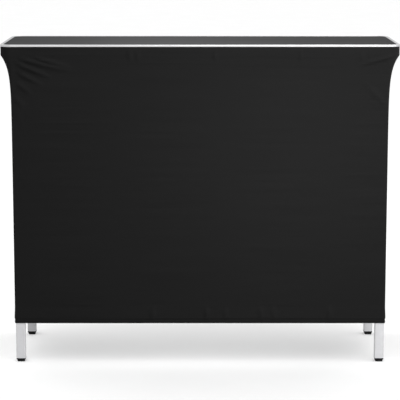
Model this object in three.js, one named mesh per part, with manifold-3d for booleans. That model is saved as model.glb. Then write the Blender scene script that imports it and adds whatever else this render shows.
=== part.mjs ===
// A folding portable bar: a one-piece counter in an aluminium edge frame, two leg frames that fold flat
// under it, and a stretch skirt round the front and the ends. Millimetres, +Z up, the front faces -Y.
import * as THREE from 'three';
import { mergeVertices } from 'three/addons/utils/BufferGeometryUtils.js';
import Module from 'manifold-3d';

// Overall sizes
const COUNTER_WIDTH = 1220;
const COUNTER_DEPTH = 381;
const BAR_HEIGHT = 990;
const CORNER_RADIUS = 34;

// Edge profile round the counter: a nose, an apron below it, a ledge and a lip that hold the panel, whose
// field stands up inside the lip
const NOSE_HEIGHT = 6.5;
const NOSE_STAND = 5;
const NOSE_ROUND = 2;
const APRON_DEPTH = 33;
const APRON_WALL = 2;
const LIP_REACH = 3.5;
const LIP_THICKNESS = 1.5;
const LEDGE_REACH = 4;
const LEDGE_THICKNESS = 2;
const PANEL_THICKNESS = 9;
const PANEL_FIELD = 1;
const BATTEN_WIDTH = 40;
const BATTEN_THICKNESS = 5;
const BATTEN_OFFSET = 170;

// Leg frames
const TUBE = 28;
const TUBE_WALL = 1.6;
const TUBE_ROUND = 2;
const LEG_END_INSET = 37;
const LEG_APRON_GAP = 1;
const LEG_HEAD = 12;
const HINGE_DROP = 21.5;
const STACK_GAP = 2;
const AXLE_RADIUS = 5;
const RAIL = 20;
const RAIL_WALL = 1.5;
const MIDDLE_RAIL_HEIGHT = 560;
const LOWER_RAIL_HEIGHT = 180;

// Feet
const FOOT_TIP = 7;
const FOOT_FLANGE = 4;
const FOOT_PLUG = 18;
const FOOT_TREAD = 20;
const FOOT_CHAMFER = 1.5;
const FOOT_SHOULDER = 24;

// Quadrant plates and clamp knobs
const PLATE_THICKNESS = 3;
const PLATE_FLANGE = 28;
const PLATE_HEEL = 18;
const PLATE_MARGIN = 15;
const PLATE_OVERRUN = THREE.MathUtils.degToRad(5);
const CLAMP_ARM = 95;
const FOLD_ANGLE = Math.PI / 2;
const STUD_RADIUS = 4;
const SLOT_PLAY = 0.5;
const SPOKE_WIDTH = 24;
const KNOB_RADIUS = 17;
const KNOB_LOBES = 5;
const KNOB_SCALLOP = 5;
const KNOB_THICKNESS = 14;
const KNOB_HUB_RADIUS = 9;
const KNOB_HUB_LENGTH = 6;
const KNOB_CROWN = 5;

// Skirt and its hook tape
const TAPE_THICKNESS = 1.2;
const TAPE_WIDTH = 20;
const CLOTH = 1.2;
const HEM_HEIGHT = 124;
const HEM_DEPTH = 10;
const HEM_SWELL = 1.6;
const SKIRT_EASE = 0.4;
const SKIRT_LEG_COVER = 15;
const FLARE_DECAY = 55;
const FLARE_STEPS = [10, 22, 36, 54, 76, 104, 140, 190, 260];
const DRAG_DEPTH = { left: 1.5, right: 0.8 };
const DRAG_SPACING = 48;
const DRAG_SLOPE = 0.4;
const DRAG_REACH = 280;
const DRAG_DROP = 260;
const DRAG_STEPS = [0, 18, 38, 60, 85, 115, 150, 200, 280];

// Clearances and facets
const FIT = 0.3;
const WELD = 1e-4;
const ARC_STEPS = 6;
const ROUND_STEPS = 2;
const NOSE_STEPS = 3;
const CIRCLE_STEPS = 24;

// Places worked out from the sizes
const HALF_WIDTH = COUNTER_WIDTH / 2;
const HALF_DEPTH = COUNTER_DEPTH / 2;
const LEDGE_TOP = BAR_HEIGHT - LIP_THICKNESS - FIT - PANEL_THICKNESS;
const PANEL_TOP = LEDGE_TOP + PANEL_THICKNESS;
const LEDGE_UNDERSIDE = LEDGE_TOP - LEDGE_THICKNESS;
const APRON_BOTTOM = BAR_HEIGHT - APRON_DEPTH;
const NOSE_UNDERSIDE = BAR_HEIGHT - NOSE_HEIGHT;
const APRON_INSET = NOSE_STAND + APRON_WALL;
const LEG_OUTER_X = HALF_WIDTH - LEG_END_INSET;
const LEG_OUTER_Y = HALF_DEPTH - APRON_INSET - LEG_APRON_GAP;
const LEG_X = LEG_OUTER_X - TUBE / 2;
const LEG_Y = LEG_OUTER_Y - TUBE / 2;
const LEG_INNER_Y = LEG_OUTER_Y - TUBE;
const FOOT_HEIGHT = FOOT_TIP + FOOT_FLANGE;
const PLATE_FACE_Y = LEG_INNER_Y - FIT;
const KNOB_FACE_Y = PLATE_FACE_Y - PLATE_THICKNESS - FIT;
const LEFT = { name: 'left', side: -1, hinge: LEDGE_UNDERSIDE - HINGE_DROP };
const RIGHT = { name: 'right', side: 1, hinge: LEFT.hinge - TUBE - STACK_GAP };
const FRONT_ROW = { name: 'front', side: -1 };
const REAR_ROW = { name: 'rear', side: 1 };

const wasm = await Module();
wasm.setup();

const aluminium = () => new THREE.MeshStandardMaterial({ color: 0xd6d7d9, roughness: 0.34, metalness: 1 });
const steel = () => new THREE.MeshStandardMaterial({ color: 0x8d9094, roughness: 0.42, metalness: 1 });
const laminate = () => new THREE.MeshStandardMaterial({ color: 0x1c1c1d, roughness: 0.48, metalness: 0 });
const blackPlastic = () => new THREE.MeshStandardMaterial({ color: 0x121213, roughness: 0.6, metalness: 0 });
const hookTape = () => new THREE.MeshStandardMaterial({ color: 0x161617, roughness: 0.95, metalness: 0 });
const stretchCloth = () => new THREE.MeshStandardMaterial({ color: 0x191919, roughness: 0.9, metalness: 0 });

const bar = new THREE.Group();

function addPiece(name, geometry, material) {
  const mesh = new THREE.Mesh(geometry, material);
  mesh.name = name;
  bar.add(mesh);
}

// Solids: joining and cutting

function toSolid(geometry) {
  const bare = geometry.clone();
  bare.deleteAttribute('normal');
  bare.deleteAttribute('uv');
  const merged = mergeVertices(bare, WELD);
  const vertProperties = new Float32Array(merged.attributes.position.array);
  const triVerts = new Uint32Array(merged.index.array);
  return new wasm.Manifold(new wasm.Mesh({ numProp: 3, vertProperties, triVerts }));
}

function toGeometry(solid) {
  const mesh = solid.getMesh();
  const geometry = new THREE.BufferGeometry();
  geometry.setAttribute('position', new THREE.BufferAttribute(mesh.vertProperties, 3));
  geometry.setIndex(new THREE.BufferAttribute(mesh.triVerts, 1));
  geometry.computeVertexNormals();
  return geometry;
}

const joined = (first, ...others) =>
  toGeometry(others.reduce((solid, other) => solid.add(toSolid(other)), toSolid(first)));

const cut = (body, ...tools) =>
  toGeometry(tools.reduce((solid, tool) => solid.subtract(toSolid(tool)), toSolid(body)));

// Solids: prisms, rods and lofts

const prism = (shape, depth, curveSegments = ARC_STEPS) =>
  new THREE.ExtrudeGeometry(shape, { depth, bevelEnabled: false, curveSegments });

// A shape drawn in X and Z, run along Y
const prismAlongY = (shape, low, high, curveSegments = ARC_STEPS) =>
  prism(shape, high - low, curveSegments).rotateX(Math.PI / 2).translate(0, high, 0);

function box(low, high) {
  const size = new THREE.Vector3().subVectors(high, low);
  const middle = new THREE.Vector3().addVectors(low, high).multiplyScalar(0.5);
  return new THREE.BoxGeometry(size.x, size.y, size.z).translate(middle.x, middle.y, middle.z);
}

// A round rod along Y, centred on x and z
function rodAlongY(radius, x, z, low, high) {
  const rod = new THREE.CylinderGeometry(radius, radius, high - low, CIRCLE_STEPS);
  return rod.translate(x, (low + high) / 2, z);
}

// A closed solid through rings that all have the same number of points
function loft(rings) {
  const count = rings[0].length;
  const positions = rings.flat().flatMap((point) => [point.x, point.y, point.z]);
  const faces = [];
  for (let level = 0; level < rings.length - 1; level += 1) {
    for (let i = 0; i < count; i += 1) {
      const here = level * count + i;
      const next = level * count + ((i + 1) % count);
      faces.push([here, next, next + count], [here, next + count, here + count]);
    }
  }
  const last = (rings.length - 1) * count;
  for (const [a, b, c] of capFaces(rings[0])) {
    faces.push([c, b, a]);
  }
  for (const [a, b, c] of capFaces(rings[rings.length - 1])) {
    faces.push([last + a, last + b, last + c]);
  }
  const geometry = new THREE.BufferGeometry();
  geometry.setAttribute('position', new THREE.Float32BufferAttribute(positions, 3));
  geometry.setIndex(faces.flat());
  geometry.computeVertexNormals();
  return geometry;
}

// Triangles of a flat ring, turning the way the ring's own points turn
function capFaces(ring) {
  const normal = new THREE.Vector3();
  ring.forEach((point, i) => {
    const next = ring[(i + 1) % ring.length];
    normal.add(new THREE.Vector3().crossVectors(point, next));
  });
  normal.normalize();
  const upright = Math.abs(normal.z) < 0.5;
  const across = upright ? new THREE.Vector3(-normal.y, normal.x, 0).normalize() : new THREE.Vector3(1, 0, 0);
  const along = new THREE.Vector3().crossVectors(normal, across);
  const flat = ring.map((point) => new THREE.Vector2(point.dot(across), point.dot(along)));
  return THREE.ShapeUtils.triangulateShape(flat, []);
}

// Shapes

function rectangle(width, height, radius, x = 0, y = 0) {
  const [left, low, right, high] = [x - width / 2, y - height / 2, x + width / 2, y + height / 2];
  const shape = new THREE.Shape();
  shape.moveTo(right - radius, low);
  shape.absarc(right - radius, low + radius, radius, -Math.PI / 2, 0, false);
  shape.absarc(right - radius, high - radius, radius, 0, Math.PI / 2, false);
  shape.absarc(left + radius, high - radius, radius, Math.PI / 2, Math.PI, false);
  shape.absarc(left + radius, low + radius, radius, Math.PI, Math.PI * 1.5, false);
  return shape;
}

function squareTube(size, wall, round, x, y) {
  const shape = rectangle(size, size, round, x, y);
  const inner = size - 2 * wall;
  shape.holes.push(rectangle(inner, inner, Math.max(round - wall, FIT), x, y));
  return shape;
}

// The edge profile's outline: outward distance from the nose's face (0 or less) against height
function edgeOutline() {
  const lipEnd = -APRON_INSET - LIP_REACH;
  const ledgeEnd = -APRON_INSET - LEDGE_REACH;
  const lipUnderside = BAR_HEIGHT - LIP_THICKNESS;
  const shape = new THREE.Shape();
  shape.moveTo(lipEnd, BAR_HEIGHT);
  shape.lineTo(lipEnd, lipUnderside);
  shape.lineTo(-APRON_INSET, lipUnderside);
  shape.lineTo(-APRON_INSET, LEDGE_TOP);
  shape.lineTo(ledgeEnd, LEDGE_TOP);
  shape.lineTo(ledgeEnd, LEDGE_UNDERSIDE);
  shape.lineTo(-APRON_INSET, LEDGE_UNDERSIDE);
  shape.lineTo(-APRON_INSET, APRON_BOTTOM);
  shape.lineTo(-NOSE_STAND, APRON_BOTTOM);
  shape.lineTo(-NOSE_STAND, NOSE_UNDERSIDE);
  shape.absarc(-NOSE_ROUND, NOSE_UNDERSIDE + NOSE_ROUND, NOSE_ROUND, -Math.PI / 2, 0, false);
  shape.absarc(-NOSE_ROUND, BAR_HEIGHT - NOSE_ROUND, NOSE_ROUND, 0, Math.PI / 2, false);
  return shape.extractPoints(NOSE_STEPS).shape;
}

// Counter: the panel, its edge frame and the flat battens under it

function edgeRun(outward, along, halfLength, reach) {
  const outline = edgeOutline();
  const ring = (t) => outline.map(({ x: n, y: z }) => new THREE.Vector3(
    outward.x * (reach + n) + along.x * t, outward.y * (reach + n) + along.y * t, z));
  return loft([ring(halfLength), ring(-halfLength)]);
}

function edgeCorner(sideX, sideY) {
  const outline = edgeOutline();
  const [centreX, centreY] = [sideX * (HALF_WIDTH - CORNER_RADIUS), sideY * (HALF_DEPTH - CORNER_RADIUS)];
  const start = Math.atan2(sideY, sideX) - Math.PI / 4;
  const rings = [];
  for (let step = ARC_STEPS; step >= 0; step -= 1) {
    const angle = start + (step / ARC_STEPS) * (Math.PI / 2);
    rings.push(outline.map(({ x: n, y: z }) => new THREE.Vector3(
      centreX + (CORNER_RADIUS + n) * Math.cos(angle), centreY + (CORNER_RADIUS + n) * Math.sin(angle), z)));
  }
  return loft(rings);
}

function panelPrism(inset, low, high) {
  const outline = rectangle(COUNTER_WIDTH - 2 * inset, COUNTER_DEPTH - 2 * inset, CORNER_RADIUS - inset);
  return prism(outline, high - low).translate(0, 0, low);
}

function buildCounter() {
  const slab = panelPrism(APRON_INSET + FIT, LEDGE_TOP, PANEL_TOP);
  const field = panelPrism(APRON_INSET + LIP_REACH + FIT, LEDGE_TOP + PANEL_FIELD, PANEL_TOP + PANEL_FIELD);
  addPiece('counter_panel', joined(slab, field), laminate());
  const longRun = HALF_WIDTH - CORNER_RADIUS;
  const shortRun = HALF_DEPTH - CORNER_RADIUS;
  for (const row of [FRONT_ROW, REAR_ROW]) {
    const outward = new THREE.Vector2(0, row.side);
    const run = edgeRun(outward, new THREE.Vector2(-row.side, 0), longRun, HALF_DEPTH);
    addPiece(`${row.name}_edge`, run, aluminium());
    for (const end of [LEFT, RIGHT]) {
      addPiece(`${row.name}_${end.name}_corner`, edgeCorner(end.side, row.side), aluminium());
    }
  }
  for (const end of [LEFT, RIGHT]) {
    const outward = new THREE.Vector2(end.side, 0);
    const run = edgeRun(outward, new THREE.Vector2(0, end.side), shortRun, HALF_WIDTH);
    addPiece(`${end.name}_edge`, run, aluminium());
    const reach = HALF_DEPTH - APRON_INSET - LEDGE_REACH - FIT;
    const centre = end.side * BATTEN_OFFSET;
    const batten = box(
      new THREE.Vector3(centre - BATTEN_WIDTH / 2, -reach, LEDGE_TOP - BATTEN_THICKNESS),
      new THREE.Vector3(centre + BATTEN_WIDTH / 2, reach, LEDGE_TOP));
    addPiece(`${end.name}_batten`, batten, aluminium());
  }
}

// Leg frames: tubes, rails, feet, the axle they turn on and the studs that clamp them

function buildLeg(end, row) {
  const x = end.side * LEG_X;
  const y = row.side * LEG_Y;
  const length = end.hinge + LEG_HEAD - FOOT_HEIGHT;
  const section = squareTube(TUBE, TUBE_WALL, TUBE_ROUND, x, y);
  const tube = prism(section, length, ROUND_STEPS).translate(0, 0, FOOT_HEIGHT);
  const bore = rodAlongY(AXLE_RADIUS + FIT, x, end.hinge, y - TUBE, y + TUBE);
  addPiece(`${row.name}_${end.name}_leg`, cut(tube, bore), aluminium());
  addPiece(`${row.name}_${end.name}_foot`, footSolid(x, y), blackPlastic());
  const tip = row.side * (KNOB_FACE_Y - KNOB_HUB_LENGTH - KNOB_THICKNESS + KNOB_CROWN + FIT);
  const root = row.side * LEG_INNER_Y;
  const stud = rodAlongY(STUD_RADIUS, x, end.hinge - CLAMP_ARM, Math.min(tip, root), Math.max(tip, root));
  addPiece(`${row.name}_${end.name}_stud`, stud, steel());
}

function footSolid(x, y) {
  const plug = TUBE - 2 * TUBE_WALL - 2 * FIT;
  const levels = [
    [FOOT_TREAD, 0],
    [FOOT_SHOULDER - FOOT_CHAMFER, FOOT_CHAMFER],
    [FOOT_SHOULDER, FOOT_TIP],
    [TUBE, FOOT_TIP],
    [TUBE, FOOT_HEIGHT],
    [plug, FOOT_HEIGHT],
    [plug, FOOT_HEIGHT + FOOT_PLUG],
  ];
  return loft(levels.map(([size, z]) => rectangle(size, size, TUBE_ROUND, x, y)
    .extractPoints(ROUND_STEPS).shape.slice(0, -1)
    .map((point) => new THREE.Vector3(point.x, point.y, z))));
}

function buildLegFrame(end) {
  const x = end.side * LEG_X;
  for (const row of [FRONT_ROW, REAR_ROW]) {
    buildLeg(end, row);
  }
  const axleReach = LEG_OUTER_Y - FIT;
  addPiece(`${end.name}_axle`, rodAlongY(AXLE_RADIUS, x, end.hinge, -axleReach, axleReach), steel());
  for (const [level, z] of [['middle', MIDDLE_RAIL_HEIGHT], ['lower', LOWER_RAIL_HEIGHT]]) {
    const section = squareTube(RAIL, RAIL_WALL, TUBE_ROUND, x, z);
    const rail = prismAlongY(section, -LEG_INNER_Y, LEG_INNER_Y, ROUND_STEPS);
    addPiece(`${end.name}_${level}_rail`, rail, aluminium());
  }
}

// Quadrant plates: each carries the axle's end and guides the stud along an arc while the leg folds

function arcBand(inner, outer, from, to) {
  const path = new THREE.Path();
  path.absarc(0, 0, outer, from, to, false);
  path.absarc(0, 0, inner, to, from, true);
  path.closePath();
  return path;
}

function slotPath(radius, halfWidth, from, to) {
  const path = new THREE.Path();
  const roundEnd = (angle, start) => path.absarc(
    radius * Math.cos(angle), radius * Math.sin(angle), halfWidth, start, start + Math.PI, false);
  path.absarc(0, 0, radius + halfWidth, from, to, false);
  roundEnd(to, to);
  path.absarc(0, 0, radius - halfWidth, to, from, true);
  roundEnd(from, from + Math.PI);
  path.closePath();
  return path;
}

function buildPlate(end, row) {
  const top = LEDGE_TOP - end.hinge;
  const reach = CLAMP_ARM + STUD_RADIUS + PLATE_MARGIN;
  const down = -FOLD_ANGLE;
  const web = new THREE.Shape();
  web.moveTo(-PLATE_HEEL, top);
  web.lineTo(-PLATE_HEEL, -PLATE_HEEL);
  web.absarc(0, 0, reach, down - PLATE_OVERRUN, PLATE_OVERRUN, false);
  web.lineTo(reach * Math.cos(PLATE_OVERRUN), top);
  web.closePath();
  const axleHole = new THREE.Path();
  axleHole.absarc(0, 0, AXLE_RADIUS + FIT, 0, Math.PI * 2, false);
  const slotEdge = CLAMP_ARM - STUD_RADIUS - SLOT_PLAY - PLATE_MARGIN;
  const spoke = Math.asin(SPOKE_WIDTH / slotEdge);
  web.holes.push(axleHole);
  web.holes.push(slotPath(CLAMP_ARM, STUD_RADIUS + SLOT_PLAY, down, 0));
  web.holes.push(arcBand(SPOKE_WIDTH, slotEdge, down + spoke, -spoke));
  const inner = row.side * (PLATE_FACE_Y - PLATE_THICKNESS);
  const outer = row.side * PLATE_FACE_Y;
  const flangeEdge = row.side * (PLATE_FACE_Y - PLATE_FLANGE);
  const plate = prismAlongY(web, Math.min(inner, outer), Math.max(inner, outer));
  const flange = box(
    new THREE.Vector3(-PLATE_HEEL, Math.min(flangeEdge, outer), top - PLATE_THICKNESS),
    new THREE.Vector3(reach * Math.cos(PLATE_OVERRUN), Math.max(flangeEdge, outer), top));
  const bracket = joined(plate, flange);
  if (end.side > 0) {
    bracket.scale(-1, 1, 1);
    bracket.setIndex(flipped(bracket.index.array));
  }
  bracket.translate(end.side * LEG_X, 0, end.hinge);
  addPiece(`${row.name}_${end.name}_quadrant`, bracket, steel());
}

// A mirrored solid's triangles turn the other way round
function flipped(index) {
  const turned = [];
  for (let i = 0; i < index.length; i += 3) {
    turned.push(index[i], index[i + 2], index[i + 1]);
  }
  return turned;
}

// Clamp knobs: scalloped star grips on the studs, bearing on the quadrant plates

function buildKnob(end, row) {
  const star = new THREE.Shape();
  const points = KNOB_LOBES * 2 * ARC_STEPS;
  for (let i = 0; i < points; i += 1) {
    const angle = (i / points) * Math.PI * 2;
    const radius = KNOB_RADIUS - KNOB_SCALLOP * (0.5 - 0.5 * Math.cos(KNOB_LOBES * angle)) ** 2;
    star[i === 0 ? 'moveTo' : 'lineTo'](radius * Math.cos(angle), radius * Math.sin(angle));
  }
  star.closePath();
  const hubEnd = KNOB_FACE_Y - KNOB_HUB_LENGTH;
  const gripEnd = hubEnd - KNOB_THICKNESS;
  const grip = prismAlongY(star, gripEnd, hubEnd);
  const hub = rodAlongY(KNOB_HUB_RADIUS, 0, 0, hubEnd - KNOB_CROWN, KNOB_FACE_Y);
  const bore = rodAlongY(STUD_RADIUS + FIT, 0, 0, gripEnd + KNOB_CROWN, KNOB_FACE_Y + FIT);
  const knob = cut(joined(grip, hub), bore);
  if (row.side < 0) {
    knob.rotateZ(Math.PI);
  }
  knob.translate(end.side * LEG_X, 0, end.hinge - CLAMP_ARM);
  addPiece(`${row.name}_${end.name}_knob`, knob, blackPlastic());
}

// Skirt: one piece of stretch cloth held on the apron by hook tape, drawn in to the legs below it

function buildHookTape() {
  const face = HALF_DEPTH - NOSE_STAND;
  const endFace = HALF_WIDTH - NOSE_STAND;
  const high = NOSE_UNDERSIDE - FIT;
  const low = high - TAPE_WIDTH;
  const longRun = HALF_WIDTH - CORNER_RADIUS;
  const shortRun = HALF_DEPTH - CORNER_RADIUS;
  const front = box(
    new THREE.Vector3(-longRun, -face - TAPE_THICKNESS, low), new THREE.Vector3(longRun, -face, high));
  addPiece('front_hook_tape', front, hookTape());
  for (const end of [LEFT, RIGHT]) {
    const near = end.side * endFace;
    const far = end.side * (endFace + TAPE_THICKNESS);
    const strip = box(
      new THREE.Vector3(Math.min(near, far), -shortRun, low),
      new THREE.Vector3(Math.max(near, far), shortRun, high));
    addPiece(`${end.name}_hook_tape`, strip, hookTape());
  }
}

// How far a drag fold lifts the cloth, at a distance in from the corner and below the apron: the folds
// start at the apron's corner, slope down towards the middle and die away
function dragFold(end, along, below) {
  const crest = 0.5 - 0.5 * Math.cos((2 * Math.PI * (below - DRAG_SLOPE * along)) / DRAG_SPACING);
  const fade = (Math.max(0, 1 - along / DRAG_REACH) * Math.max(0, 1 - below / DRAG_DROP)) ** 2;
  const start = Math.min(1, below / DRAG_SPACING);
  return DRAG_DEPTH[end.name] * crest * fade * start;
}

// Half of the skirt's plan at one height, from the rear edge to the middle of the front
function skirtLine(end, z, inset) {
  const below = Math.max(0, APRON_BOTTOM - z);
  const flare = Math.exp(-below / FLARE_DECAY);
  const stand = TAPE_THICKNESS + FIT + CLOTH - NOSE_STAND;
  const ease = SKIRT_EASE + CLOTH;
  const blend = (atLegs, atApron) => atLegs + (atApron - atLegs) * flare - inset;
  const halfWidth = blend(LEG_OUTER_X + ease, HALF_WIDTH + stand);
  const front = blend(LEG_OUTER_Y + ease, HALF_DEPTH + stand);
  const radius = blend(TUBE_ROUND + ease, CORNER_RADIUS + stand);
  const rear = LEG_INNER_Y + SKIRT_LEG_COVER;
  const line = [new THREE.Vector3(halfWidth, rear, z), new THREE.Vector3(halfWidth, 0, z)];
  for (let step = 0; step < ARC_STEPS; step += 1) {
    const angle = (step / ARC_STEPS) * (Math.PI / 2);
    line.push(new THREE.Vector3(
      halfWidth - radius * (1 - Math.cos(angle)), -front + radius * (1 - Math.sin(angle)), z));
  }
  for (const along of DRAG_STEPS) {
    line.push(new THREE.Vector3(halfWidth - radius - along, -front - dragFold(end, along, below), z));
  }
  return line.map((point) => new THREE.Vector3(end.side * point.x, point.y, point.z));
}

function skirtRing(z, swell = 0) {
  const whole = (inset) => [...skirtLine(LEFT, z, inset), ...skirtLine(RIGHT, z, inset).reverse()];
  return [...whole(-swell), ...whole(CLOTH).reverse()];
}

function buildSkirt() {
  const flare = FLARE_STEPS.map((drop) => APRON_BOTTOM - drop);
  const hemTop = HEM_HEIGHT + HEM_DEPTH;
  const hem = [skirtRing(HEM_HEIGHT, HEM_SWELL), skirtRing(hemTop - HEM_SWELL, HEM_SWELL)];
  const levels = [hemTop, ...flare.reverse(), APRON_BOTTOM, NOSE_UNDERSIDE - FIT];
  addPiece('skirt', loft([...hem, ...levels.map((z) => skirtRing(z))]), stretchCloth());
}

buildCounter();
for (const end of [LEFT, RIGHT]) {
  buildLegFrame(end);
  for (const row of [FRONT_ROW, REAR_ROW]) {
    buildPlate(end, row);
    buildKnob(end, row);
  }
}
buildHookTape();
buildSkirt();

export default bar;
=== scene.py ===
"""A folding portable bar, dressed for rendering: black counter, aluminium edge and legs, stretch skirt.

Metres, +Z up, the front faces -Y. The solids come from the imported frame. This script adds the cloth of the
skirt, its hem and stitching, the welds and the screws, the materials, the floor, the lights and the camera.
"""
import math

import bpy
import numpy as np
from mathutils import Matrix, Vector


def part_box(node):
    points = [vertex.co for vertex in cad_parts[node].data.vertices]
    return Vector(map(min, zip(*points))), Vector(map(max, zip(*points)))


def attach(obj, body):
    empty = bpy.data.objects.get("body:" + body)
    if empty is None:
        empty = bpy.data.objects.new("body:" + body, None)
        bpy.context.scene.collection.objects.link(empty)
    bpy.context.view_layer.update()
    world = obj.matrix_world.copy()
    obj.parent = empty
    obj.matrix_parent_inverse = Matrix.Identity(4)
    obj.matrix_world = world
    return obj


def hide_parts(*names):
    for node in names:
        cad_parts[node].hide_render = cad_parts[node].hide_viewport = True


MM = 0.001
FULL_TURN = 2 * math.pi
QUARTER_TURN = math.pi / 2
SIGN = {"left": -1.0, "right": 1.0, "front": -1.0, "rear": 1.0}

# Skirt cloth. The band is on the hook tape, the flare is the curve below it, and the seam is at the hem
CLOTH_THICKNESS = 0.9 * MM
BAND_STAND = 1.5 * MM
BAND_ROUND = 31.7 * MM
FLARE_DECAY = 40 * MM
LEG_EASE = 1.6 * MM
CORNER_ROUND = 3.6 * MM
SIDE_COLUMNS = 46
ARC_COLUMNS = 9
FRONT_COLUMNS = 300
BAND_ROWS = 7
FLARE_ROWS = 44
FLARE_ROW_DEPTH = 150 * MM
LOWER_ROWS = 36
PUCKER_ROWS = 8
SEAM_ROWS = 23
SEAM_ROW_RISE = 22 * MM

# Creases of the cloth: the face they are on, the distance in from that face's corner and the depth below the
# apron at their two ends, their half-breadth and their height, in millimetres
CREASES = [
    ("front_left", 62, 4, 190, 36, 5.5, 5.6),
    ("front_left", 18, 6, 164, 46, 5.5, 7.6),
    ("front_left", 6, 18, 132, 72, 6.0, 7.8),
    ("front_left", 10, 46, 100, 94, 6.5, 5.8),
    ("front_left", 100, 26, 200, 50, 8.0, 2.4),
    ("front_left", 6, 76, 72, 128, 8.0, 3.4),
    ("front_left", 0, 122, 50, 172, 9.0, 2.8),
    ("front_left", 0, 150, 34, 212, 9.0, 1.8),
    ("front_left", 150, 20, 1000, 26, 6.0, 0.6),
    ("front_right", -24, -4, 104, 33, 5.5, 6.0),
    ("front_right", 0, 158, 84, 68, 9.0, 2.6),
    ("front_right", 150, 24, 240, 34, 7.0, 0.9),
    ("left", 4, 6, 110, 36, 7.0, 2.6),
    ("left", 6, 30, 84, 72, 7.0, 2.4),
    ("left", 262, 8, 190, 40, 7.0, 1.8),
    ("right", 4, 6, 110, 36, 7.0, 2.2),
    ("right", 6, 30, 84, 72, 7.0, 1.8),
    ("right", 262, 8, 190, 40, 7.0, 1.8),
]
CREASE_RISE = 0.3
CREASE_FALL = 0.55

# Puckers of the front, upright and short: the distance along from the left corner, half-breadth and height of
# each, in millimetres. The first row pulls at the hook tape, the second at the hem
BAND_PUCKERS = [(363, 7, 2.0), (386, 6, 1.6), (622, 7, 2.0), (882, 6, 1.8), (1066, 7, 1.8), (1092, 6, 1.4)]
HEM_PUCKERS = [(424, 8, 3.2), (592, 7, 4.0), (650, 7, 2.6), (760, 8, 3.8), (800, 7, 3.0), (973, 8, 3.4)]
BAND_PUCKER_SPAN = (-26 * MM, 26 * MM)
HEM_PUCKER_RISE = 62 * MM

# Slack of the whole cloth: radians a metre along and down, phase, and share of the sway for each wave
SLACK_WAVES = [(13.0, 0.0, 0.0, 1.0), (29.0, -11.0, 1.3, 0.0), (4.0, 17.0, 0.4, 0.0)]
SLACK_SWAY = 2.1
SLACK_SWAY_RATE = 5.0
SLACK_HEIGHT = 0.7 * MM
SLACK_DROP = 120 * MM
SLACK_EDGE = 60 * MM
SIDE_SLACK_OFFSET = 3.0

# Hem and stitching. The cloth puffs out a little just above the hem's stitches
HEM_DEPTH = 10 * MM
HEM_SWELL = 1.7 * MM
HEM_POINTS = 10
HEM_STITCH_ABOVE = 12.5 * MM
HEM_PUFF = 1.4 * MM
HEM_PUFF_TURN = 1.7 * MM
HEM_PUFF_RISE = 44 * MM
REAR_HEM_WIDTH = 11 * MM
TAPE_STITCH_INSET = 2.5 * MM
STITCH_PITCH = 4.2 * MM
STITCH_LENGTH = 3.1 * MM
STITCH_RADIUS = 0.28 * MM
STITCH_SHOULDER = 0.55
STITCH_SINK = 0.5

# Welds and screws
WELD_RADIUS = 2.2 * MM
WELD_CORNER = 2 * MM
WELD_RIPPLE = 0.35 * MM
WELD_RIPPLES = 28
WELD_STEPS = 112
WELD_SIDES = 8
SCREW_RADIUS = 4.2 * MM
SCREW_DOME = 2.0 * MM
SCREW_SLOT = 0.9 * MM
SCREW_SEGMENTS = 20
SCREW_RINGS = [(1.0, 0.0), (1.0, 0.35), (0.86, 0.72), (0.6, 0.93)]
RECESS_ARMS = 4
RECESS_NARROWING = 0.72
PLATE_THICKNESS = 3 * MM
PLATE_SCREW_INSET = 2 * MM
PLATE_SCREWS = (0.16, 0.5, 0.84)
BATTEN_SCREWS = (0.1, 0.5, 0.9)

# Metals: lines of the drawn grain a metre, across and along it, and the tones and gloss of each extrusion
GRAIN_FINE = 2600
GRAIN_LONG = 6
GRAIN_BENT = 650
EDGE = {"dark": (0.54, 0.54, 0.55), "light": (0.62, 0.62, 0.625), "smooth": 0.26, "rough": 0.4}
# The end and corner tones are the edge's aluminium made darker: painted shade on the counter's ends and bent
# corners
SHADED_END = {"dark": (0.37, 0.37, 0.38), "light": (0.44, 0.44, 0.445), "smooth": 0.3, "rough": 0.44}
SHADED_CORNER = {"dark": (0.45, 0.45, 0.46), "light": (0.53, 0.53, 0.535), "smooth": 0.3, "rough": 0.44}
TUBE = {"dark": (0.45, 0.45, 0.46), "light": (0.54, 0.54, 0.55), "smooth": 0.54, "rough": 0.68}

# Knit of the cloth, and the dark and light tones of the other materials
WALE = 1.15 * MM
COURSE = 0.85 * MM
KNIT_TONES = (0.0031, 0.0031, 0.0031), (0.0053, 0.0053, 0.0053)
# The hem's tones are the knit's made darker: painted shade along the skirt's lower edge
HEM_SHADE_TONES = (0.0022, 0.0022, 0.0022), (0.0042, 0.0042, 0.0042)
THREAD_TONES = (0.008, 0.008, 0.008), (0.022, 0.022, 0.023)
HOOK_TONES = (0.03, 0.03, 0.031), (0.008, 0.008, 0.008)
LAMINATE_TONES = (0.013, 0.013, 0.0133), (0.017, 0.017, 0.0174)
FOOT_TONES = (0.002, 0.002, 0.002), (0.005, 0.005, 0.0052)
KNOB_TONES = (0.009, 0.009, 0.009), (0.02, 0.02, 0.0205)
ZINC_TONES = (0.45, 0.46, 0.47), (0.62, 0.63, 0.65)
WELD_TONES = (0.5, 0.5, 0.5), (0.74, 0.74, 0.74)
FLOOR_TONES = (0.94, 0.94, 0.94), (0.96, 0.96, 0.96)

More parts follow.
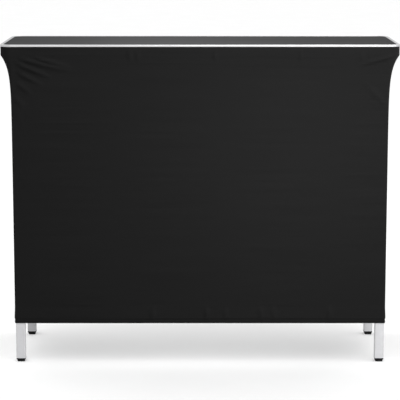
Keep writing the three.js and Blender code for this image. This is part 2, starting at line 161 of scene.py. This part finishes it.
# Camera, floor and lights. A light has its place, the point that it is aimed at, its size and its power
CAMERA_PLACE = (0.0, -5.1905, 1.38)
CAMERA_PITCH = math.radians(8.858)
CAMERA_LENS = 148.69
CAMERA_SHIFT = (0.0, -0.07)
SENSOR_WIDTH = 36.0
FLOOR_HALF = 30.0
KEY = {"place": (1.3, -1.7, 2.1), "aim": (0.2, -0.1, 0.55), "size": 2.4, "power": 160}
CLOTH_LIGHT = {"place": (0.3, -0.85, 0.66), "aim": (0.3, 0.0, 0.66), "size": 0.4, "power": 5.5}
COUNTER_LIGHT = {"place": (-0.12, 0.0, 1.55), "aim": (-0.12, 0.0, 0.0), "size": 0.3, "power": 10}
WASH = {"place": (0.0, 0.0, 5.0), "aim": (0.0, 0.0, 0.0), "size": 6.0, "power": 85}
SKY_LOW = 1.0
SKY_HIGH = 1.05
SKY_RISE = 0.55

# Sockets of the colour mixing node
MIX_FACTOR = 0
MIX_FIRST = 6
MIX_SECOND = 7
MIX_RESULT = 2

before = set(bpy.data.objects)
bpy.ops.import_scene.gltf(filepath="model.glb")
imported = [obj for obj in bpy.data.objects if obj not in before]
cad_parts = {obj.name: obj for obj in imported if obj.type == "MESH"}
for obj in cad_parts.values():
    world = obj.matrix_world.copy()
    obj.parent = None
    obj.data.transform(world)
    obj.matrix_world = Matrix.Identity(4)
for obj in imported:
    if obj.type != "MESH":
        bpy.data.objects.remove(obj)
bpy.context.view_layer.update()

# Places that the skirt takes from the solids
skirt_low, skirt_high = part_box("skirt")
leg_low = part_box("front_left_leg")[0]
tape_low, tape_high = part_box("front_hook_tape")
apron_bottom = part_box("front_edge")[0].z
band_half_width = skirt_high.x
band_front = -tape_low.y + BAND_STAND
band_top = skirt_high.z
leg_half_width = -leg_low.x + LEG_EASE
leg_front = -leg_low.y + LEG_EASE
skirt_rear = skirt_high.y
hem_height = skirt_low.z
hem_below = apron_bottom - hem_height


# Meshes


def add_object(name, points, faces):
    mesh = bpy.data.meshes.new(name)
    mesh.from_pydata([tuple(p) for p in points], [], faces)
    mesh.update()
    for polygon in mesh.polygons:
        polygon.use_smooth = True
    made = bpy.data.objects.new(name, mesh)
    bpy.context.scene.collection.objects.link(made)
    return made


def grid_faces(rows, columns, closed=False):
    """Quads of a grid of points stored row by row."""
    faces = []
    for row in range(rows - 1):
        for column in range(columns if closed else columns - 1):
            beside = (column + 1) % columns
            low, high = row * columns, (row + 1) * columns
            faces.append((low + column, low + beside, high + beside, high + column))
    return faces


class Mesh:
    """Points and faces gathered from several forms into one piece."""

    def __init__(self):
        self.points = []
        self.faces = []

    def add(self, points, faces):
        start = len(self.points)
        self.points.extend(tuple(p) for p in points)
        self.faces.extend(tuple(start + i for i in face) for face in faces)


def smooth_step(x):
    x = np.clip(x, 0.0, 1.0)
    return x * x * (3.0 - 2.0 * x)


def path_lengths(path):
    """The length of each step of a path, and the length gone at each of its points."""
    steps = np.linalg.norm(np.diff(path, axis=0), axis=1)
    return steps, np.concatenate([[0.0], np.cumsum(steps)])


# Skirt


def skirt_plan(z):
    """Half-width, front distance and corner radius of the cloth's outer face at each height."""
    flare = np.exp(-np.maximum(0.0, apron_bottom - z) / FLARE_DECAY)
    half_width = leg_half_width + (band_half_width - leg_half_width) * flare
    front = leg_front + (band_front - leg_front) * flare
    radius = CORNER_ROUND + (BAND_ROUND - CORNER_ROUND) * flare
    return half_width, front, radius


def crease_lift(along, below, ends, breadth, height):
    """How far one crease lifts the cloth, thinning out to nothing at both its ends."""
    start, finish = np.array(ends[:2]) * MM, np.array(ends[2:]) * MM
    direction = finish - start
    length = np.linalg.norm(direction)
    direction = direction / length
    share = ((along - start[0]) * direction[0] + (below - start[1]) * direction[1]) / length
    across = (along - start[0]) * direction[1] - (below - start[1]) * direction[0]
    taper = smooth_step(share / CREASE_RISE) * smooth_step((1.0 - share) / CREASE_FALL)
    return height * MM * taper * np.exp(-((across / (breadth * MM)) ** 2))


def creases_lift(face, along, below):
    """How far all the creases of one face lift the cloth."""
    lift = np.zeros_like(below)
    for where, *ends, breadth, height in CREASES:
        if where == face:
            lift = lift + crease_lift(along, below, ends, breadth, height)
    return lift


def puckers_lift(along, below, puckers, top, bottom):
    """How far a row of puckers lifts the cloth between two depths below the apron."""
    half = (bottom - top) / 2
    fade = smooth_step((below - top) / half) * smooth_step((bottom - below) / half)
    lift = np.zeros_like(below)
    for centre, breadth, height in puckers:
        lift = lift + height * MM * np.exp(-(((along - centre * MM) / (breadth * MM)) ** 2))
    return lift * fade


def slack_lift(along, below, from_edge):
    """A faint unevenness of the whole cloth, which is stretched but not dead flat."""
    sway = SLACK_SWAY * np.sin(below * SLACK_SWAY_RATE)
    waves = np.zeros_like(below)
    for along_rate, below_rate, phase, swayed in SLACK_WAVES:
        waves = waves + np.sin(along * along_rate + below * below_rate + phase + sway * swayed)
    height = SLACK_HEIGHT * (waves / len(SLACK_WAVES) + 1.0) / 2
    return height * smooth_step(below / SLACK_DROP) * smooth_step(from_edge / SLACK_EDGE)


def puff_lift(below):
    """How far the cloth swells just above the hem's stitching, which holds it in."""
    above = np.maximum(0.0, hem_below - HEM_STITCH_ABOVE - below)
    swell = 1.0 - np.exp(-((above / HEM_PUFF_TURN) ** 2))
    return HEM_PUFF * swell * smooth_step(1.0 - above / HEM_PUFF_RISE)


def lifted(x, y, z, outward, lift):
    """A column's points, moved outward by its lift, and its outward direction."""
    points = [x + outward[0] * lift, y + outward[1] * lift, z]
    return np.stack(points, axis=1), np.array(outward)


def side_column(end, share, z):
    """A column on one end of the skirt."""
    half_width, front, radius = skirt_plan(z)
    below = apron_bottom - z
    corner = radius - front
    gone = share if end == "left" else 1.0 - share
    y = skirt_rear + (corner - skirt_rear) * gone
    along = y - corner
    lift = creases_lift(end, along, below) + puff_lift(below)
    lift = lift + slack_lift(along + SIDE_SLACK_OFFSET, below, along)
    return lifted(SIGN[end] * half_width, y, z, [SIGN[end], 0.0, 0.0], lift)


def arc_column(end, share, z):
    """A column on one of the skirt's rounded front corners, which the creases of the front run on to."""
    half_width, front, radius = skirt_plan(z)
    below = apron_bottom - z
    angle = QUARTER_TURN * (share if end == "left" else 1.0 - share)
    outward = [SIGN[end] * math.cos(angle), -math.sin(angle), 0.0]
    x = SIGN[end] * (half_width - radius + radius * math.cos(angle))
    y = radius - front - radius * math.sin(angle)
    lift = creases_lift(f"front_{end}", radius * (angle - QUARTER_TURN), below) + puff_lift(below)
    return lifted(x, y, z, outward, lift)


def front_column(share, z):
    """A column on the front of the skirt."""
    half_width, front, radius = skirt_plan(z)
    below = apron_bottom - z
    run = half_width - radius
    x = run * (2.0 * share - 1.0)
    from_left, from_right = x + run, run - x
    lift = creases_lift("front_left", from_left, below) + creases_lift("front_right", from_right, below)
    lift = lift + puckers_lift(from_left, below, BAND_PUCKERS, *BAND_PUCKER_SPAN)
    lift = lift + puckers_lift(from_left, below, HEM_PUCKERS, hem_below - HEM_PUCKER_RISE, hem_below)
    lift = lift + puff_lift(below) + slack_lift(from_left, below, np.minimum(from_left, from_right))
    return lifted(x, -front, z, [0.0, -1.0, 0.0], lift)


def cloth_rows():
    """The heights of the cloth's rows, closest together where it flares and at the hem's seam."""
    flare_end = apron_bottom - FLARE_ROW_DEPTH
    pucker_top = hem_height + HEM_PUCKER_RISE
    seam_top = hem_height + SEAM_ROW_RISE
    band = np.linspace(band_top, apron_bottom, BAND_ROWS, endpoint=False)
    flare = np.linspace(apron_bottom, flare_end, FLARE_ROWS, endpoint=False)
    lower = np.linspace(flare_end, pucker_top, LOWER_ROWS, endpoint=False)
    pucker = np.linspace(pucker_top, seam_top, PUCKER_ROWS, endpoint=False)
    return np.concatenate([band, flare, lower, pucker, np.linspace(seam_top, hem_height, SEAM_ROWS)])


def cloth_columns(z):
    """The cloth's columns, from the rear edge on the left round to the rear edge on the right."""
    side = np.linspace(0.0, 1.0, SIDE_COLUMNS, endpoint=False)
    arc = np.linspace(0.0, 1.0, ARC_COLUMNS, endpoint=False)
    front = np.linspace(0.0, 1.0, FRONT_COLUMNS, endpoint=False)
    columns = [side_column("left", share, z) for share in side]
    columns += [arc_column("left", share, z) for share in arc]
    columns += [front_column(share, z) for share in front]
    columns += [arc_column("right", share, z) for share in arc]
    columns += [side_column("right", share, z) for share in np.linspace(0.0, 1.0, SIDE_COLUMNS)]
    return columns


def mark_cloth(piece, across, up):
    """Notes each point's place on the flat cloth, which the knit's material follows."""
    place = piece.data.attributes.new("cloth_place", "FLOAT_VECTOR", "POINT")
    values = np.stack([across, up, np.zeros_like(up)], axis=1).astype(np.float32)
    place.data.foreach_set("vector", values.ravel())


def make_skirt():
    """The cloth, with the points and outward directions of its grid and the length along its hem."""
    z = cloth_rows()
    made = cloth_columns(z)
    points = np.stack([p for p, _ in made], axis=1)
    outward = np.stack([o for _, o in made], axis=0)
    rows, columns = points.shape[:2]
    cloth = add_object("skirt_cloth", points.reshape(-1, 3), grid_faces(rows, columns))
    across = path_lengths(points[-1])[1]
    mark_cloth(cloth, np.tile(across, rows), np.repeat(z, columns))
    shell = cloth.modifiers.new("cloth_thickness", "SOLIDIFY")
    shell.thickness = CLOTH_THICKNESS
    shell.offset = -1.0
    return cloth, points, outward, across


def sweep(path, outward, profile):
    """A closed tube along an open path. The profile is (outward distance, height) pairs."""
    count = len(profile)
    points = []
    for point, out in zip(path, outward):
        points += [point + out * distance + np.array([0.0, 0.0, height]) for distance, height in profile]
    faces = [tuple(reversed(face)) for face in grid_faces(len(path), count, closed=True)]
    faces.append(tuple(range(count)))
    faces.append(tuple(reversed(range(len(points) - count, len(points)))))
    return points, faces


def make_hem(points, outward, across):
    """The rolled hem along the skirt's lower edge, thicker than the cloth."""
    profile = []
    for i in range(HEM_POINTS):
        angle = FULL_TURN * i / HEM_POINTS
        bulge = HEM_SWELL if math.cos(angle) > 0 else CLOTH_THICKNESS
        profile.append((bulge * math.cos(angle), HEM_DEPTH / 2 * (1 + math.sin(angle))))
    hem_points, faces = sweep(points[-1], outward, profile)
    hem = add_object("skirt_hem", hem_points, faces)
    mark_cloth(hem, np.repeat(across, HEM_POINTS), np.array([p[2] for p in hem_points]))
    return hem


def stitch_form(mesh, centre, direction, out):
    """One stitch: a slim bead of thread lying on the cloth, pointed at both ends."""
    half = direction * (STITCH_LENGTH / 2)
    over, side = out * STITCH_RADIUS, np.cross(direction, out) * STITCH_RADIUS
    ring = [over, side, -over * STITCH_SINK, -side]
    points = [centre - half]
    for shoulder in (-STITCH_SHOULDER, STITCH_SHOULDER):
        points += [centre + half * shoulder + r for r in ring]
    points.append(centre + half)
    count, tip = len(ring), len(points) - 1
    faces = []
    for i in range(count):
        j = (i + 1) % count
        near, near_next = 1 + i, 1 + j
        far, far_next = near + count, near_next + count
        faces += [(0, near_next, near), (near, near_next, far_next, far), (tip, far, far_next)]
    mesh.add(points, faces)


def stitch_row(mesh, path, outward):
    """Stitches at an even pitch along a path that lies on the cloth."""
    steps, gone = path_lengths(path)
    for i in range(int(gone[-1] / STITCH_PITCH)):
        at = (i + 0.5) * STITCH_PITCH
        centre = np.array([np.interp(at, gone, path[:, axis]) for axis in range(3)])
        segment = min(int(np.searchsorted(gone, at)) - 1, len(steps) - 1)
        direction = (path[segment + 1] - path[segment]) / steps[segment]
        out = outward[min(segment, len(outward) - 1)]
        stitch_form(mesh, centre + out * STITCH_RADIUS * STITCH_SINK, direction, out)


def make_stitching(points, outward):
    """Rows of stitching: above the hem, along both edges of the hook tape and down the rear edges."""
    mesh = Mesh()
    columns = points.shape[1]
    fall = -points[:, 0, 2]
    for z in (hem_height + HEM_STITCH_ABOVE, tape_low.z + TAPE_STITCH_INSET, tape_high.z - TAPE_STITCH_INSET):
        level = [[np.interp(-z, fall, points[:, c, axis]) for axis in range(3)] for c in range(columns)]
        stitch_row(mesh, np.array(level), outward)
    for column, step in ((0, 1), (columns - 1, -1)):
        width = np.linalg.norm(points[-1, column + step] - points[-1, column])
        inner = column + step * round(REAR_HEM_WIDTH / width)
        stitch_row(mesh, points[:, inner], [outward[inner]])
    return add_object("skirt_stitching", mesh.points, mesh.faces)


# Welds and screws


def rounded_square(half, radius, steps):
    """Points round a rounded square, with the direction out at each."""
    made = []
    straight = 2 * (half - radius)
    arc = radius * QUARTER_TURN
    whole = 4 * (straight + arc)
    for i in range(steps):
        side, rest = divmod(i / steps * whole, straight + arc)
        if rest < straight:
            at, angle = Vector((half, rest - straight / 2)), 0.0
        else:
            angle = (rest - straight) / radius
            centre = Vector((half - radius, half - radius))
            at = centre + Vector((math.cos(angle), math.sin(angle))) * radius
        turn = side * QUARTER_TURN
        out = Vector((math.cos(angle + turn), math.sin(angle + turn)))
        cos, sin = math.cos(turn), math.sin(turn)
        made.append((Vector((at.x * cos - at.y * sin, at.x * sin + at.y * cos)), out))
    return made


def weld_form(mesh, centre, half, facing):
    """A rippled bead round a rail's end, in the angle between the rail and the leg."""
    points = []
    for i, (at, out) in enumerate(rounded_square(half, WELD_CORNER, WELD_STEPS)):
        radius = WELD_RADIUS + WELD_RIPPLE * math.cos(FULL_TURN * i * WELD_RIPPLES / WELD_STEPS)
        for k in range(WELD_SIDES):
            angle = FULL_TURN * k / WELD_SIDES
            place = at + out * (radius * math.cos(angle))
            rise = facing * radius * math.sin(angle)
            points.append((centre.x + place.x, centre.y + rise, centre.z + place.y))
    faces = grid_faces(WELD_STEPS + 1, WELD_SIDES, closed=True)
    faces = [tuple(i % len(points) for i in face) for face in faces]
    if facing < 0:
        faces = [tuple(reversed(face)) for face in faces]
    mesh.add(points, faces)


def make_welds(end):
    """The beads at both ends of one leg frame's two rails."""
    mesh = Mesh()
    for level in ("middle", "lower"):
        low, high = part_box(f"{end}_{level}_rail")
        centre = (low + high) / 2
        half = (high.x - low.x) / 2
        for y, facing in ((low.y, 1), (high.y, -1)):
            weld_form(mesh, Vector((centre.x, y, centre.z)), half, facing)
    return add_object(f"{end}_rail_welds", mesh.points, mesh.faces)


def screw_form(mesh, top):
    """A domed screw head with a cross recess, hanging below a face that looks down."""
    count, crown = SCREW_SEGMENTS, len(SCREW_RINGS) - 1
    points = []
    for ring, (spread, drop) in enumerate(SCREW_RINGS):
        for i in range(count):
            angle = FULL_TURN * i / count
            radius = spread * SCREW_RADIUS
            if ring == crown and i % (count // RECESS_ARMS) == 0:
                radius *= RECESS_NARROWING
            place = (radius * math.cos(angle), radius * math.sin(angle), -SCREW_DOME * drop)
            points.append(Vector(place) + top)
    pit = len(points)
    points.append(Vector((0.0, 0.0, SCREW_SLOT - SCREW_DOME)) + top)
    faces = []
    for upper in range(0, crown * count, count):
        lower = upper + count
        for i in range(count):
            j = (i + 1) % count
            faces.append((upper + i, lower + i, lower + j, upper + j))
    for i in range(count):
        faces.append((crown * count + i, pit, crown * count + (i + 1) % count))
    faces.append(tuple(range(count)))
    mesh.add(points, faces)


def make_screws():
    """Screws through the flanges of the quadrant plates and through the battens, into the panel."""
    mesh = Mesh()
    for row in ("front", "rear"):
        for end in ("left", "right"):
            low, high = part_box(f"{row}_{end}_quadrant")
            y = (low.y + high.y) / 2 - SIGN[row] * PLATE_SCREW_INSET
            for share in PLATE_SCREWS:
                screw_form(mesh, Vector((low.x + (high.x - low.x) * share, y, high.z - PLATE_THICKNESS)))
    for end in ("left", "right"):
        low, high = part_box(f"{end}_batten")
        for share in BATTEN_SCREWS:
            screw_form(mesh, Vector(((low.x + high.x) / 2, low.y + (high.y - low.y) * share, low.z)))
    return add_object("under_counter_screws", mesh.points, mesh.faces)


# Materials


class Paint:
    """A material while its nodes are put together."""

    def __init__(self, name):
        self.material = bpy.data.materials.new(name)
        self.material.use_nodes = True
        self.tree = self.material.node_tree
        self.shader = next(n for n in self.tree.nodes if n.type == "BSDF_PRINCIPLED")

    def set(self, **values):
        for name, value in values.items():
            self.shader.inputs[name.replace("_", " ")].default_value = value

    def link(self, **sockets):
        for name, socket in sockets.items():
            self.tree.links.new(socket, self.shader.inputs[name.replace("_", " ")])

    def feed(self, socket, value):
        """Links a socket to another, or gives it a fixed value."""
        if isinstance(value, bpy.types.NodeSocket):
            self.tree.links.new(value, socket)
        else:
            socket.default_value = value

    def add(self, kind, values=None, **settings):
        node = self.tree.nodes.new(kind)
        for name, value in settings.items():
            setattr(node, name, value)
        for name, value in (values or {}).items():
            self.feed(node.inputs[name], value)
        return node

    def place(self, scale=(1, 1, 1), source=None):
        """Object coordinates, or another vector, stretched by a scale."""
        if source is None:
            source = self.add("ShaderNodeTexCoord").outputs["Object"]
        return self.add("ShaderNodeMapping", {"Vector": source, "Scale": scale}).outputs["Vector"]

    def noise(self, vector, scale, detail, roughness):
        values = {"Vector": vector, "Scale": scale, "Detail": detail, "Roughness": roughness}
        return self.add("ShaderNodeTexNoise", values).outputs["Fac"]

    def cells(self, vector, scale):
        """The distance from the middles of many small cells."""
        return self.add("ShaderNodeTexVoronoi", {"Vector": vector, "Scale": scale}).outputs["Distance"]

    def facets(self, vector, scale):
        """A tone of its own for each of many angular cells."""
        return self.add("ShaderNodeTexVoronoi", {"Vector": vector, "Scale": scale}).outputs["Color"]

    def span(self, value, low, high, from_low=0.3, from_high=0.7):
        values = {"Value": value, "From Min": from_low, "From Max": from_high, "To Min": low, "To Max": high}
        return self.add("ShaderNodeMapRange", values).outputs["Result"]

    def math(self, operation, a, b=0.0):
        node = self.add("ShaderNodeMath", operation=operation)
        self.feed(node.inputs[0], a)
        self.feed(node.inputs[1], b)
        return node.outputs["Value"]

    def blend(self, first, second, share):
        """A sum of two values, with a share of the first and the rest of the second."""
        part = self.math("MULTIPLY", first, share)
        return self.math("ADD", part, self.math("MULTIPLY", second, 1.0 - share))

    def tint(self, value, tones, from_low=0.3, from_high=0.7):
        """A colour between a pair of tones."""
        node = self.add("ShaderNodeMix", data_type="RGBA")
        self.feed(node.inputs[MIX_FACTOR], self.span(value, 0.0, 1.0, from_low, from_high))
        node.inputs[MIX_FIRST].default_value = (*tones[0], 1.0)
        node.inputs[MIX_SECOND].default_value = (*tones[1], 1.0)
        return node.outputs[MIX_RESULT]

    def bump(self, height, strength, distance, under=None):
        values = {"Height": height, "Strength": strength, "Distance": distance}
        if under is not None:
            values["Normal"] = under
        return self.add("ShaderNodeBump", values).outputs["Normal"]


def satin_aluminium(name, grain, dark, light, smooth, rough):
    """Drawn and anodised aluminium: fine lines along the extrusion, soft mottling, a few handling marks."""
    paint = Paint(name)
    paint.set(Metallic=1.0)
    lines = paint.noise(paint.place(grain), scale=1.0, detail=4.0, roughness=0.6)
    mottle = paint.noise(paint.place(), scale=34.0, detail=4.0, roughness=0.6)
    marks = paint.noise(paint.place(), scale=60.0, detail=6.0, roughness=0.75)
    marked = paint.span(marks, 0.0, 0.08, from_low=0.62, from_high=0.75)
    paint.link(Base_Color=paint.tint(paint.blend(lines, mottle, share=0.6), (dark, light)))
    paint.link(Roughness=paint.math("ADD", paint.span(lines, smooth, rough), marked))
    paint.link(Normal=paint.bump(lines, strength=0.12, distance=0.05 * MM))
    return paint.material


def black_laminate():
    """Fine-pebbled matte black laminate with faint wiping marks."""
    paint = Paint("black_laminate")
    paint.set(Specular_IOR_Level=0.02)
    place = paint.place()
    pebble = paint.cells(place, scale=900.0)
    cloudy = paint.noise(place, scale=6.0, detail=5.0, roughness=0.6)
    wiped = paint.noise(paint.place((4, 60, 20)), scale=1.0, detail=4.0, roughness=0.6)
    paint.link(Base_Color=paint.tint(cloudy, LAMINATE_TONES))
    paint.link(Roughness=paint.math("ADD", paint.span(cloudy, 0.62, 0.69), paint.span(wiped, -0.03, 0.04)))
    paint.link(Normal=paint.bump(pebble, strength=0.12, distance=0.08 * MM))
    return paint.material


def zinc_steel():
    """Zinc-plated steel: a faint spangle and duller patches."""
    paint = Paint("zinc_steel")
    paint.set(Metallic=1.0)
    place = paint.place()
    spangle = paint.facets(place, scale=190.0)
    dull = paint.noise(place, scale=60.0, detail=5.0, roughness=0.65)
    paint.link(Base_Color=paint.tint(paint.blend(spangle, dull, share=0.35), ZINC_TONES))
    paint.link(Roughness=paint.span(dull, 0.3, 0.5))
    paint.link(Normal=paint.bump(dull, strength=0.1, distance=0.1 * MM))
    return paint.material


def weld_metal():
    """Weld metal: bright crests and a grey bloom beside them."""
    paint = Paint("weld_metal")
    paint.set(Metallic=1.0)
    bloom = paint.noise(paint.place(), scale=220.0, detail=4.0, roughness=0.6)
    paint.link(Base_Color=paint.tint(bloom, WELD_TONES))
    paint.link(Roughness=paint.span(bloom, 0.3, 0.55))
    paint.link(Normal=paint.bump(bloom, strength=0.2, distance=0.2 * MM))
    return paint.material


def moulded_plastic(name, tones):
    """Spark-textured black plastic, a little polished where it is handled."""
    paint = Paint(name)
    paint.set(Specular_IOR_Level=0.12)
    place = paint.place()
    spark = paint.noise(place, scale=1400.0, detail=3.0, roughness=0.6)
    worn = paint.noise(place, scale=90.0, detail=4.0, roughness=0.6)
    paint.link(Base_Color=paint.tint(worn, tones))
    paint.link(Roughness=paint.span(worn, 0.42, 0.62))
    paint.link(Normal=paint.bump(spark, strength=0.25, distance=0.12 * MM))
    return paint.material


def hook_fabric():
    """Hook tape: rows of tiny stiff hooks on a woven ground."""
    paint = Paint("hook_fabric")
    paint.set(Sheen_Weight=0.2, Sheen_Roughness=0.5, Specular_IOR_Level=0.2)
    hooks = paint.cells(paint.place(), scale=700.0)
    paint.link(Base_Color=paint.tint(hooks, HOOK_TONES, from_low=0.1, from_high=0.6))
    paint.link(Roughness=paint.span(hooks, 0.6, 0.95, from_low=0.1, from_high=0.6))
    paint.link(Normal=paint.bump(hooks, strength=0.7, distance=0.5 * MM))
    return paint.material


def stretch_knit(name, tones):
    """Black stretch knit: upright ribs crossed by courses, with the slight streaks of knitted yarn."""
    paint = Paint(name)
    paint.set(Sheen_Weight=0.02, Sheen_Roughness=0.45, Specular_IOR_Level=0.04)
    source = paint.add("ShaderNodeAttribute", attribute_name="cloth_place").outputs["Vector"]
    parts = paint.add("ShaderNodeSeparateXYZ", {"Vector": source})
    rib = paint.math("SINE", paint.math("MULTIPLY", parts.outputs["X"], FULL_TURN / WALE))
    course = paint.math("SINE", paint.math("MULTIPLY", parts.outputs["Y"], FULL_TURN / COURSE))
    yarn = paint.noise(paint.place((420, 60, 1), source), scale=1.0, detail=4.0, roughness=0.65)
    bars = paint.noise(paint.place((3, 240, 1), source), scale=1.0, detail=3.0, roughness=0.6)
    streaks = paint.blend(yarn, bars, share=0.6)
    loops = paint.bump(paint.blend(rib, course, share=0.6), strength=0.35, distance=0.12 * MM)
    paint.link(Base_Color=paint.tint(streaks, tones, from_low=0.35, from_high=0.65))
    paint.link(Roughness=paint.span(yarn, 0.72, 0.92))
    paint.link(Normal=paint.bump(streaks, strength=0.25, distance=0.15 * MM, under=loops))
    return paint.material


def thread():
    """Twisted black thread."""
    paint = Paint("thread")
    paint.set(Sheen_Weight=0.1, Specular_IOR_Level=0.3)
    twist = paint.noise(paint.place(), scale=900.0, detail=2.0, roughness=0.5)
    paint.link(Base_Color=paint.tint(twist, THREAD_TONES))
    paint.link(Roughness=paint.span(twist, 0.45, 0.7))
    paint.link(Normal=paint.bump(twist, strength=0.3, distance=0.1 * MM))
    return paint.material


def pale_floor():
    paint = Paint("pale_floor")
    paint.set(Specular_IOR_Level=0.1)
    mottle = paint.noise(paint.place(), scale=3.0, detail=4.0, roughness=0.6)
    paint.link(Base_Color=paint.tint(mottle, FLOOR_TONES))
    paint.link(Roughness=paint.span(mottle, 0.8, 0.9))
    return paint.material


def paint_object(piece, material):
    piece.data.materials.clear()
    piece.data.materials.append(material)


def paint_nodes(steel):
    """Gives every solid of the frame its material, with the grain of each extrusion along its length."""
    along_x = (GRAIN_LONG, GRAIN_FINE, GRAIN_FINE)
    along_y = (GRAIN_FINE, GRAIN_LONG, GRAIN_FINE)
    along_z = (GRAIN_FINE, GRAIN_FINE, GRAIN_LONG)
    bent = (GRAIN_BENT, GRAIN_BENT, GRAIN_FINE)
    edge_x = satin_aluminium("edge_aluminium_along_x", along_x, **EDGE)
    # The ends and the bent corners get the edge's aluminium in darker tones: painted shade
    shaded_edge_y = satin_aluminium("shaded_edge_aluminium_along_y", along_y, **SHADED_END)
    tube_y = satin_aluminium("tube_aluminium_along_y", along_y, **TUBE)
    by_ending = {
        "front_edge": edge_x,
        "rear_edge": edge_x,
        "left_edge": shaded_edge_y,
        "right_edge": shaded_edge_y,
        "corner": satin_aluminium("shaded_edge_aluminium_bent", bent, **SHADED_CORNER),
        "batten": tube_y,
        "rail": tube_y,
        "leg": satin_aluminium("tube_aluminium_along_z", along_z, **TUBE),
        "panel": black_laminate(),
        "foot": moulded_plastic("foot_plastic", FOOT_TONES),
        "knob": moulded_plastic("knob_plastic", KNOB_TONES),
        "hook_tape": hook_fabric(),
        "quadrant": steel,
        "stud": steel,
        "axle": steel,
    }
    for name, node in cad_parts.items():
        for ending, material in by_ending.items():
            if name.endswith(ending):
                paint_object(node, material)


# Camera, floor and lights


def make_camera():
    data = bpy.data.cameras.new("photo_camera")
    data.sensor_width = SENSOR_WIDTH
    data.lens = CAMERA_LENS
    data.shift_x, data.shift_y = CAMERA_SHIFT
    camera = bpy.data.objects.new("photo_camera", data)
    camera.location = CAMERA_PLACE
    camera.rotation_euler = (QUARTER_TURN - CAMERA_PITCH, 0, 0)
    bpy.context.scene.collection.objects.link(camera)
    bpy.context.scene.camera = camera


def make_floor():
    corners = [(x * FLOOR_HALF, y * FLOOR_HALF, 0) for x, y in ((-1, -1), (1, -1), (1, 1), (-1, 1))]
    made = add_object("floor", corners, [(0, 1, 2, 3)])
    paint_object(made, pale_floor())
    return made


def make_sky():
    """A white sky, a little brighter overhead."""
    world = bpy.data.worlds.new("studio")
    bpy.context.scene.world = world
    world.use_nodes = True
    nodes, links = world.node_tree.nodes, world.node_tree.links
    backdrop = next(n for n in nodes if n.type == "BACKGROUND")
    backdrop.inputs["Color"].default_value = (1.0, 1.0, 1.0, 1.0)
    parts = nodes.new("ShaderNodeSeparateXYZ")
    links.new(nodes.new("ShaderNodeTexCoord").outputs["Generated"], parts.inputs["Vector"])
    rise = nodes.new("ShaderNodeMapRange")
    rise.interpolation_type = "SMOOTHSTEP"
    rise.inputs["From Max"].default_value = SKY_RISE
    rise.inputs["To Min"].default_value = SKY_LOW
    rise.inputs["To Max"].default_value = SKY_HIGH
    links.new(parts.outputs["Z"], rise.inputs["Value"])
    links.new(rise.outputs["Result"], backdrop.inputs["Strength"])


def add_light(name, pieces, place, aim, size, power):
    """A soft square light that falls on the given pieces alone."""
    data = bpy.data.lights.new(name, "AREA")
    data.size = size
    data.energy = power
    light = bpy.data.objects.new(name, data)
    light.location = place
    light.rotation_mode = "QUATERNION"
    light.rotation_quaternion = (Vector(aim) - Vector(place)).to_track_quat("-Z", "Y")
    bpy.context.scene.collection.objects.link(light)
    lit = bpy.data.collections.new(f"{name}_lit")
    for piece in pieces:
        lit.objects.link(piece)
    light.light_linking.receiver_collection = lit
    return light


def make_lights(floor, skirt):
    """A soft key from above on the right, weaker lights on the cloth and the counter, a wash on the floor."""
    bar = [piece for piece in bpy.context.scene.objects if piece.type == "MESH" and piece != floor]
    add_light("key", bar, **KEY)
    add_light("cloth_light", skirt, **CLOTH_LIGHT)
    add_light("counter_light", [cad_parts["counter_panel"]], **COUNTER_LIGHT)
    wash = add_light("wash", [floor], **WASH)
    wash.light_linking.blocker_collection = wash.light_linking.receiver_collection


make_camera()
make_sky()
floor = make_floor()
bpy.context.scene.view_settings.view_transform = "Standard"
steel = zinc_steel()
paint_nodes(steel)

cloth, cloth_points, cloth_outward, cloth_across = make_skirt()
paint_object(cloth, stretch_knit("stretch_knit", KNIT_TONES))
hem = make_hem(cloth_points, cloth_outward, cloth_across)
# The hem is the same knit in darker tones: painted shade at the bottom of the skirt
paint_object(hem, stretch_knit("hem_knit_shaded", HEM_SHADE_TONES))
stitching = make_stitching(cloth_points, cloth_outward)
paint_object(stitching, thread())
for piece in (cloth, hem, stitching):
    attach(piece, "counter")
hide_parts("skirt")

weld = weld_metal()
for end in ("left", "right"):
    welds = make_welds(end)
    paint_object(welds, weld)
    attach(welds, f"{end}_leg_frame")

screws = make_screws()
paint_object(screws, steel)
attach(screws, "counter")

make_lights(floor, (cloth, hem, stitching))
